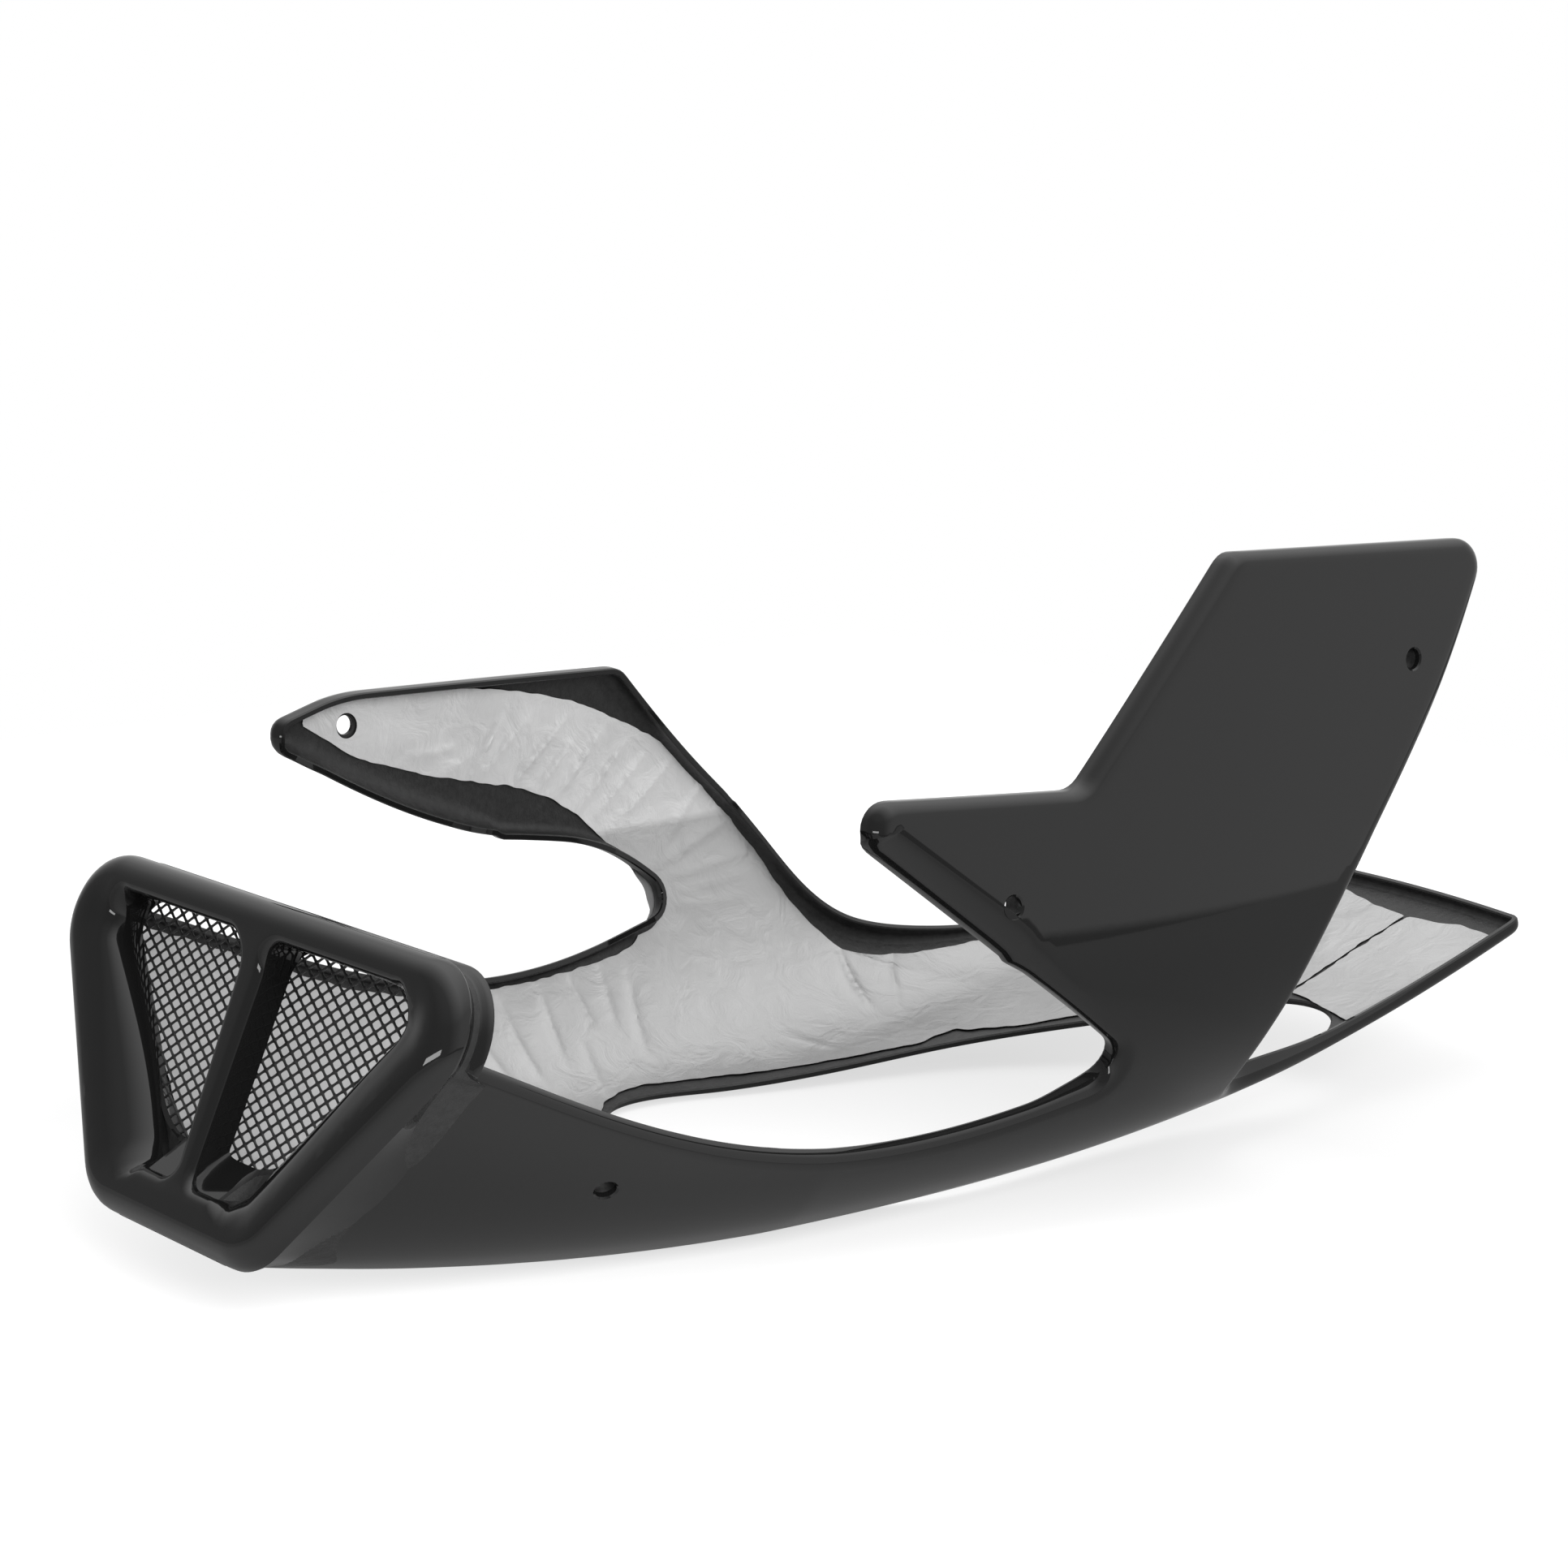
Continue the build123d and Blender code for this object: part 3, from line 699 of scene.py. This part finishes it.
def frameSide(p, t):  # roll, side and the cove that runs out on the hull
    n = noseSet
    r, wall, count = n["roll"], n["skin"], len(p)
    height = (p - noseFoot) @ noseUp
    run = n["coveRun"] + (n["topCoveRun"] - n["coveRun"]) * fadeIn(height, n["coveRise"])
    near, far = (hullGap(p, t, n["side"] + run + beyond) for beyond in (0.0, n["beyond"]))
    gap = near + n["proud"]
    slope = (far - near) / n["beyond"] * run
    corner = p + t * r - noseOut * n["side"]
    free = fadeIn(corner[:, 2] - rimHeight(corner + (n["freeAhead"], 0, 0)), n["free"])[:, None]
    rows = []
    for turn in np.linspace(0, math.pi / 2, 8)[1:]:
        rows.append(evenRow(count, r * math.sin(turn), r * (1 - math.cos(turn))))
    for c in np.linspace(0, 1, 11):  # a cubic from the side to the hull
        neck = n["groove"] * fadeIn(height, n["grooveRise"]) * math.sin(math.pi * c) ** 2
        inward = gap * (3 * c * c - 2 * c ** 3) + n["coveBow"] * gap * (c ** 3 - 2 * c * c + c)
        inward = inward + slope * (c ** 3 - c * c)
        cove = np.stack([r - inward - neck, n["side"] + run * c], -1)
        plain = np.stack([r - neck, np.full(count, n["side"] + (n["depth"] - n["side"]) * c)], -1)
        rows.append(cove * (1 - free) + plain * free)
    last = rows[-1]
    rows.append(np.stack([np.minimum(last[:, 0], r - wall), last[:, 1] - n["backStep"]], -1))
    rows.append(evenRow(count, r - wall, n["side"]))
    for turn in np.linspace(math.pi / 2, 0, 6)[:-1]:
        rows.append(evenRow(count, (r - wall) * math.sin(turn), r - (r - wall) * math.cos(turn)))
    return np.array(rows)


def scooped(f):  # the window's outline at the mesh, its floor higher than in front
    n = noseSet
    low = np.clip((n["window"][2][1] + n["scoopRun"] - f[:, 1]) / n["scoopRun"], 0, n["scoopMost"])
    return np.stack([f[:, 0], f[:, 1] + n["scoop"] * low ** 2], -1)


def lipReach(out, height):  # width of a lip, and how far it is of the soft kind on the outer side
    n = noseSet
    share = fadeIn(out, n["lipFace"])
    soft = n["softEdge"] + (n["topEdge"] - n["softEdge"]) * fadeIn(height, n["lipRise"])
    return n["edge"] + (soft - n["edge"]) * share, share


def funnelRows(way, p, t):  # a window's lip and the funnel back to its mesh
    n = noseSet
    wall = n["funnelWall"]
    reach, share = lipReach(-(t @ noseSide) * way, (p - noseFoot) @ noseUp)
    drop = n["edge"] + (n["funnel"] - noseDepth(p) - n["funnelGap"] - n["edge"]) * share
    rows = []
    for a in np.linspace(0, math.pi / 2, 9)[1:]:
        rows.append(p + t * (reach * math.sin(a))[:, None] - noseOut * (drop * (1 - math.cos(a)))[:, None])
    lip = rows[-1]
    flat = np.stack([(lip - noseFoot) @ noseSide, (lip - noseFoot) @ noseUp], -1)
    mesh = noseSpot(scooped(flat), n["funnel"])
    rows += [lip + (mesh - lip) * c for c in n["funnelSteps"]]
    rows += [mesh - t * wall, lip - t * wall]
    return np.array(rows)


def lipRoll(way, path, out):  # how far outside the window its lip begins
    return lipReach(-out[:, 0] * way, path[:, 1])[0]


def buildNose():
    n = noseSet
    loops = [{
        "path": noseEdge, "roll": n["roll"], "profile": frameSide,
        "step": n["step"], "innerFrom": n["sideRows"],
    }]
    for way in (1, -1):
        loops.append({
            "path": windowOutline(way), "hole": True, "rollAt": partial(lipRoll, way),
            "profile": partial(funnelRows, way), "step": n["windowStep"], "innerFrom": n["funnelRows"],
        })
    blacks = [blackGel, blackInner]
    return rolledSheet("noseFrame", loops, n["spacing"], nosePlace, noseNormal, n["skin"], blacks)


noseFrame = buildNose()
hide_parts("pan_shell")
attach(noseFrame, "root")
print("nose", len(noseFrame.data.polygons))


# grilles of expanded metal
grilleSet = {
    "half": (4.5, 3.0), "turn": 4.0, "hole": 0.66, "corner": 1.3, "rise": 0.55, "depth": 19.2, "round": 20,
    "step": 2.0, "many": 30, "margin": 4.0, "lap": 2.0,
    "strand": [(0, 1), (0.5, 0.85), (1, 0), (0.5, -0.85), (0, -1)],  # share of the way to the hole, and rise
}
meshLook = {
    "fine": {"Scale": 420.0, "Detail": 3.0},
    "black": [(0.3, 0.012), (0.7, 0.03)], "rough": [(0.3, 0.3), (0.7, 0.42)],
}


def meshBlack():
    look = meshLook
    m, tree, skin = nodeMaterial("meshBlack")
    fine = noiseOn(tree, objectPlace(tree), look["fine"])
    tree.links.new(ramp(tree, fine, look["black"]), skin.inputs["Base Color"])
    tree.links.new(ramp(tree, fine, look["rough"]), skin.inputs["Roughness"])
    return m


def buildGrille(name, way, material):
    g = grilleSet
    wide, tall = g["half"]
    n = g["round"]
    outline = even(scooped(windowOutline(way)), g["step"], True)
    turn = math.radians(g["turn"])
    spin = np.array([[math.cos(turn), -math.sin(turn)], [math.sin(turn), math.cos(turn)]])
    a, b = spin @ np.array([wide, tall]), spin @ np.array([-wide, tall])
    low, high = outline.min(0), outline.max(0)
    middle = (low + high) / 2
    many = range(-g["many"], g["many"] + 1)
    spots = np.array([middle + i * a + j * b for i in many for j in many])
    spots = spots[((spots > low - g["margin"]) & (spots < high + g["margin"])).all(1)]
    spots = spots[inside(spots, outline) | (farFrom(spots, outline) < g["lap"])]
    angle = np.linspace(0, 2 * math.pi, n, endpoint=False)
    cs, sn = np.cos(angle), np.sin(angle)
    diamond = 1 / (np.abs(cs) / wide + np.abs(sn) / tall)
    power = g["corner"]
    hole = g["hole"] / (np.abs(cs / wide) ** power + np.abs(sn / tall) ** power) ** (1 / power)
    verts, faces = [], []
    for c in spots:
        base = len(verts)
        for share, rise in g["strand"]:
            reach = diamond + (hole - diamond) * share
            ring = np.stack([cs * reach, sn * reach], -1) @ spin.T + c
            verts += list(noseSpot(ring, g["depth"] - rise * g["rise"]))
        for r in range(len(g["strand"]) - 1):
            for k in range(n):
                here, ahead = base + r * n + k, base + r * n + (k + 1) % n
                faces.append((here, here + n, ahead + n, ahead))
    return meshPiece(name, np.array(verts) * mm, faces, [0] * len(faces), [material])


blackMesh = meshBlack()
for name, node, way in (("grilleLeft", "grille_left", 1), ("grilleRight", "grille_right", -1)):
    grille = buildGrille(name, way, blackMesh)
    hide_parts(node)
    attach(grille, "root")
    print(name, len(grille.data.polygons))


# heat foil stuck to the inner skin
foilSet = {
    "thick": 0.25, "gap": 0.35, "soft": 0.06, "spacing": 2.0, "step": 1.6, "holeStep": 1.2, "pathStep": 2.0,
    "frontDepth": 26.0, "ragged": 0.9, "raggedScale": 0.16, "raggedStep": 1.5,
    "front": [(-320, 132), (-267, 110), (-218, 88), (-125.5, 54.5), (-66, 50), (-18.5, 52), (6, 58),
              (19, 70)],
    "armLow": [(19, 70), (17, 82), (7, 96), (-5, 109), (-17, 120), (-34, 131.5), (-54, 140), (-73, 145),
               (-107, 153.5), (-131, 161), (-154, 170), (-175, 183), (-182, 187)],
    "armTop": [(-182, 187), (-178, 195), (-155, 196), (-104, 193.5), (-48, 184.5), (-21, 176.5), (4, 165.5),
               (25, 155), (40, 145), (56, 133), (72, 117), (84, 97), (92, 84)],
    "rear": [(119, 142), (140, 134), (172, 127), (215, 119), (270, 110), (322, 107)],
    "tail": [(322, 107), (331, 60), (333, 20), (330, -9), (326, -25), (322, -51)],
    "slit": [(322, -51), (304, -49), (285, -48.4), (262, -49.5), (240, -50.5)],
    "opening": [(240, -50.5), (214, -16), (176, 18), (146, 36), (128, 52), (126, 59), (113, 59), (104, 57.5),
                (69, 69), (34, 81), (4, 92), (-33, 100), (-48, 98), (-60, 93), (-72, 80), (-86, 50),
                (-90, -10), (-86, -62)],
    "near": [(-86, -62), (-180, -66), (-300, -52)],
    "leftTail": [(240, -52.5), (262, -51.5), (285, -50.6), (304, -51), (322, -53), (323, -72), (325, -83),
                 (322, -106), (287, -105), (264, -104), (240, -104), (228, -99), (233, -84), (238, -66)],
    "hole": (-156.7, 183.6, 6.0),
    "creaseRise": 1.8, "creaseEnds": (0.02, 0.98), "creasePower": 0.6,
    "waves": [(0.018, 0.018, 3.1, 0.35), (0.07, 0.05, 8.7, 0.12)], "waveLift": 0.6,  # scales, seed, height
}


def roughen(path, seed):  # a hand cut edge
    f = foilSet
    p = even(path, f["raggedStep"], True)
    ahead = np.roll(p, -1, axis=0) - np.roll(p, 1, axis=0)
    n = np.stack([ahead[:, 1], -ahead[:, 0]], -1)
    n /= np.maximum(np.linalg.norm(n, axis=1, keepdims=True), 1e-9)
    amount = [noise.noise(Vector((a * f["raggedScale"], b * f["raggedScale"], seed))) for a, b in p.tolist()]
    return p + n * (np.array(amount) * f["ragged"])[:, None]


def onWall(points):
    return wallPath(even(curveThrough(points), foilSet["pathStep"]))


def onFloor(points, smooth=True):
    return floorPath(even(curveThrough(points) if smooth else points, foilSet["pathStep"]))


def rightFoilOutline():
    f = foilSet
    path = np.vstack([
        onWall(f["front"]), onWall(f["armLow"])[1:], onWall(f["armTop"])[1:],
        onFloor(f["rear"])[1:], onFloor(f["tail"])[1:], onFloor(f["slit"], False)[1:],
        onFloor(f["opening"], False)[1:], onFloor(f["near"])[1:],
    ])
    return path[noseDepth(onSkin(path)) > f["frontDepth"]]


def ridge(p, start, end, width, height):  # a crease between two places of the sheet
    f = foilSet
    t, away = beside(p, start, end)
    swell = np.sin(math.pi * np.clip(t, *f["creaseEnds"])) ** f["creasePower"]
    return f["creaseRise"] * height * np.exp(-away / width) * swell


creases = [  # start and end as station and girth, width, height
    ((-92, 247), (-64, 288), 2.0, 0.9), ((-84, 252), (-48, 287), 2.6, 0.8),
    ((-66, 246), (-26, 284), 2.0, 1.0), ((-50, 242), (-22, 272), 2.4, 0.8),
    ((-36, 240), (-4, 276), 2.2, 0.9), ((-22, 233), (10, 268), 2.0, 0.8), ((-10, 230), (24, 262), 2.2, 0.7),
    ((4, 226), (38, 254), 2.4, 0.7), ((-112, 262), (-96, 290), 2.4, 0.6),
    ((-120, 268), (-92, 272), 2.0, 0.5), ((-104, 258), (-80, 270), 2.0, 0.5),
    ((20, 205), (84, 224), 2.4, 0.6), ((22, 200), (92, 206), 2.6, 0.6), ((24, 194), (90, 196), 2.2, 0.5),
    ((24, 190), (80, 186), 2.4, 0.5), ((30, 212), (62, 244), 2.0, 0.5), ((112, 105), (120, 152), 2.4, 1.2),
    ((122, 96), (150, 140), 2.2, 0.7), ((118, 150), (152, 118), 2.0, 0.6),
    ((-40, 170), (-36, 142), 2.2, 0.9), ((-58, 170), (-62, 128), 2.2, 0.9),
    ((-84, 170), (-80, 120), 2.6, 0.9), ((-20, 172), (-24, 140), 2.2, 0.7),
    ((-4, 168), (-18, 120), 2.4, 0.7), ((-104, 160), (-96, 118), 2.6, 0.7),
    ((-46, 140), (-56, 100), 2.4, 0.6), ((60, 110), (72, 82), 2.2, 0.5), ((300, -20), (280, -30), 3.0, 0.5),
    ((270, 20), (300, 60), 3.0, 0.6),
]


def foilRise(f):
    rise = sum(ridge(f, *c) for c in creases)
    for across, along, seed, height in foilSet["waves"]:
        wave = [noise.noise(Vector((a * across, b * along, seed))) for a, b in f.tolist()]
        rise = rise + height * (np.array(wave) + foilSet["waveLift"])
    return rise


def foilPlace(f):
    inner = shellSet["wall"] + foilSet["gap"] + foilSet["thick"]
    return onSkin(f) - skinOut(f) * (inner + np.clip(foilRise(f), 0, None))[:, None]


def foilNormal(f):
    return -skinOut(f)


foilLook = {
    "metal": 0.55,
    "paintedBands": [(0.02, 0.45), (0.112, 0.62), (0.1135, 1.0), (0.15, 0.95)],  # painted light by height: a painted reflection band above the arm's bend, painted shade lower down
    "cloud": {"Scale": 22.0, "Detail": 5.0, "Roughness": 0.6},
    "tint": [(0.3, 0.88), (0.7, 1.0)], "rough": [(0.3, 0.30), (0.7, 0.42)],
    "crumple": {"Scale": 60.0, "Detail": 6.0, "Roughness": 0.55, "Distortion": 1.2},
    "crumpleBump": {"Strength": 0.22, "Distance": 0.004},
    "folds": {"noise_type": "RIDGED_MULTIFRACTAL", "Scale": 14.0, "Detail": 3.0, "Distortion": 0.6},
    "foldBump": {"Strength": 0.9, "Distance": 0.002},
}


def foilMaterial():
    look = foilLook
    m, tree, skin = nodeMaterial("heatFoil")
    place = objectPlace(tree)
    skin.inputs["Metallic"].default_value = look["metal"]
    height = addNode(tree, "ShaderNodeSeparateXYZ", [("Vector", place)]).outputs["Z"]
    cloud = noiseOn(tree, place, look["cloud"])
    # base colour: the painted reflection band and painted shade by height, times a random tint
    shade = multiplied(tree, ramp(tree, height, look["paintedBands"]), ramp(tree, cloud, look["tint"]))
    tree.links.new(shade, skin.inputs["Base Color"])
    tree.links.new(ramp(tree, cloud, look["rough"]), skin.inputs["Roughness"])
    crumple = bumpOf(tree, noiseOn(tree, place, look["crumple"]), look["crumpleBump"])
    folds = noiseOn(tree, place, look["folds"])
    crease = bumpOf(tree, folds, look["foldBump"], [("Normal", crumple)])
    tree.links.new(crease, skin.inputs["Normal"])
    return m


def buildFoil(name, outline, holes, material):
    f = foilSet
    edge = cutProfile(f["soft"], f["thick"])
    loops = [{"path": outline, "profile": edge, "step": f["step"]}]
    for x, z, radius in holes:
        loops.append({"path": ringAt((x, z), radius), "hole": True, "profile": edge, "step": f["holeStep"]})
    return rolledSheet(name, loops, f["spacing"], foilPlace, foilNormal, f["thick"], [material])


brightFoil = foilMaterial()
foils = [("heatFoilRight", "heat_foil_right", roughen(rightFoilOutline(), 0.3), [foilSet["hole"]]),
         ("heatFoilLeft", "heat_foil_left", roughen(onFloor(foilSet["leftTail"], False), 5.2), [])]
for name, node, outline, holes in foils:
    film = buildFoil(name, outline, holes, brightFoil)
    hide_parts(node)
    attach(film, "root")
    print(name, len(film.data.polygons))


# studio
studioSet = {
    "at": (-1.0153, -1.2, 0.4774), "turn": (78.6, 0.0, -39.4), "lens": 83.85, "sensor": 36.0,
    "sky": [(0.402, 0.07), (0.41, 0.68), (0.75, 0.68), (1.0, 2.0)],  # light by height, from below to above
    "shade": 0.2, "shadeRun": (-0.45, 0.25),  # the sky is darker towards the front
    "mirrored": 0.15,  # how much of the white backdrop shows in reflections
    "key": ((0.25, 0.0, 1.7), (0.24, 0.0, 0.0), 1.0, 1.2, 4.0),  # place, aim, width, depth, power
    "fill": ((-0.6, -1.9, 1.2), (0.0, 0.1, 0.1), 1.6, 1.0, 42.0),
    "strip": ((-1.25, -0.45, 0.12), (-0.33, -0.1, 0.1), 0.8, 0.14, 2.5),
    "floor": (-1.1, -0.63, 0.95, 1.1), "level": -0.0007, "rough": 0.9,
    "glow": [(0.15, 0.68), (0.64, 1.0)],  # white further out, with room for the shadow in the middle
    "paintedPool": (-0.28, -0.2, 0.0), "grey": [(0.12, 0.5), (0.45, 0.2)],  # a painted pool of light on the floor: palest here, greyer outwards
}


def mapped(tree, source, low, high, least=0.0):  # a value between two limits, as least to one
    limits = {"From Min": low, "From Max": high, "To Min": least}
    return addNode(tree, "ShaderNodeMapRange", [("Value", source)], **limits).outputs["Result"]


def backdropShare(tree):  # white to the camera and through glass, part white in reflections
    ray = addNode(tree, "ShaderNodeLightPath").outputs
    links = [(0, ray["Is Glossy Ray"]), (2, ray["Is Camera Ray"])]
    share = addNode(tree, "ShaderNodeMath", links, operation="MULTIPLY_ADD")
    share.inputs[1].default_value = studioSet["mirrored"]
    links = [(0, share.outputs["Value"]), (1, ray["Is Transmission Ray"])]
    return addNode(tree, "ShaderNodeMath", links, operation="MAXIMUM").outputs["Value"]


def floorMaterial():
    s = studioSet
    m, tree, skin = nodeMaterial("paleFloor")
    place = objectPlace(tree)
    away = addNode(tree, "ShaderNodeVectorMath", [(0, place)], operation="LENGTH").outputs["Value"]
    # the base colour is a painted pool of light, palest at one spot and greyer outwards
    paintedPool = addNode(tree, "ShaderNodeVectorMath", [(0, place)], operation="DISTANCE")
    paintedPool.inputs[1].default_value = s["paintedPool"]
    tree.links.new(ramp(tree, paintedPool.outputs["Value"], s["grey"]), skin.inputs["Base Color"])
    links = [(0, ramp(tree, away, s["glow"])), (1, backdropShare(tree))]
    glow = addNode(tree, "ShaderNodeMath", links, operation="MULTIPLY")
    skin.inputs["Emission Color"].default_value = (1, 1, 1, 1)
    tree.links.new(glow.outputs["Value"], skin.inputs["Emission Strength"])
    skin.inputs["Roughness"].default_value = s["rough"]
    skin.inputs["Specular IOR Level"].default_value = 0.0
    return m


def skyLight():
    s = studioSet
    world = bpy.data.worlds.new("studio")
    world.use_nodes = True
    scene.world = world
    tree = world.node_tree
    coords = addNode(tree, "ShaderNodeTexCoord").outputs["Generated"]
    seen = addNode(tree, "ShaderNodeSeparateXYZ", [("Vector", coords)]).outputs
    band = ramp(tree, mapped(tree, seen["Z"], -1.0, 1.0), s["sky"])
    dome = multiplied(tree, band, mapped(tree, seen["X"], *s["shadeRun"], s["shade"]))
    links = [("Fac", backdropShare(tree)), ("Color1", dome)]
    white = addNode(tree, "ShaderNodeMixRGB", links, Color2=(1, 1, 1, 1))
    tree.links.new(white.outputs["Color"], tree.nodes["Background"].inputs["Color"])


def studio():
    s = studioSet
    camera = bpy.data.objects.new("camera", bpy.data.cameras.new("camera"))
    camera.location = s["at"]
    camera.rotation_euler = Euler([math.radians(a) for a in s["turn"]])
    camera.data.lens, camera.data.sensor_width = s["lens"], s["sensor"]
    scene.collection.objects.link(camera)
    scene.camera = camera
    skyLight()
    x0, y0, x1, y1 = s["floor"]
    corners = [(x, y, s["level"]) for x, y in ((x0, y0), (x1, y0), (x1, y1), (x0, y1))]
    floor = meshPiece("floor", corners, [(0, 1, 2, 3)], [0], [floorMaterial()])
    for name in ("key", "fill", "strip"):
        spot, aim, width, depth, power = s[name]
        lamp = bpy.data.objects.new(name, bpy.data.lights.new(name, "AREA"))
        lamp.data.shape, lamp.data.size, lamp.data.size_y = "RECTANGLE", width, depth
        lamp.data.energy = power
        lamp.location = spot
        lamp.visible_glossy = name == "strip"  # the others would show as squares on the rolled edges
        lamp.rotation_euler = (Vector(aim) - Vector(spot)).to_track_quat("-Z", "Y").to_euler()
        scene.collection.objects.link(lamp)


studio()
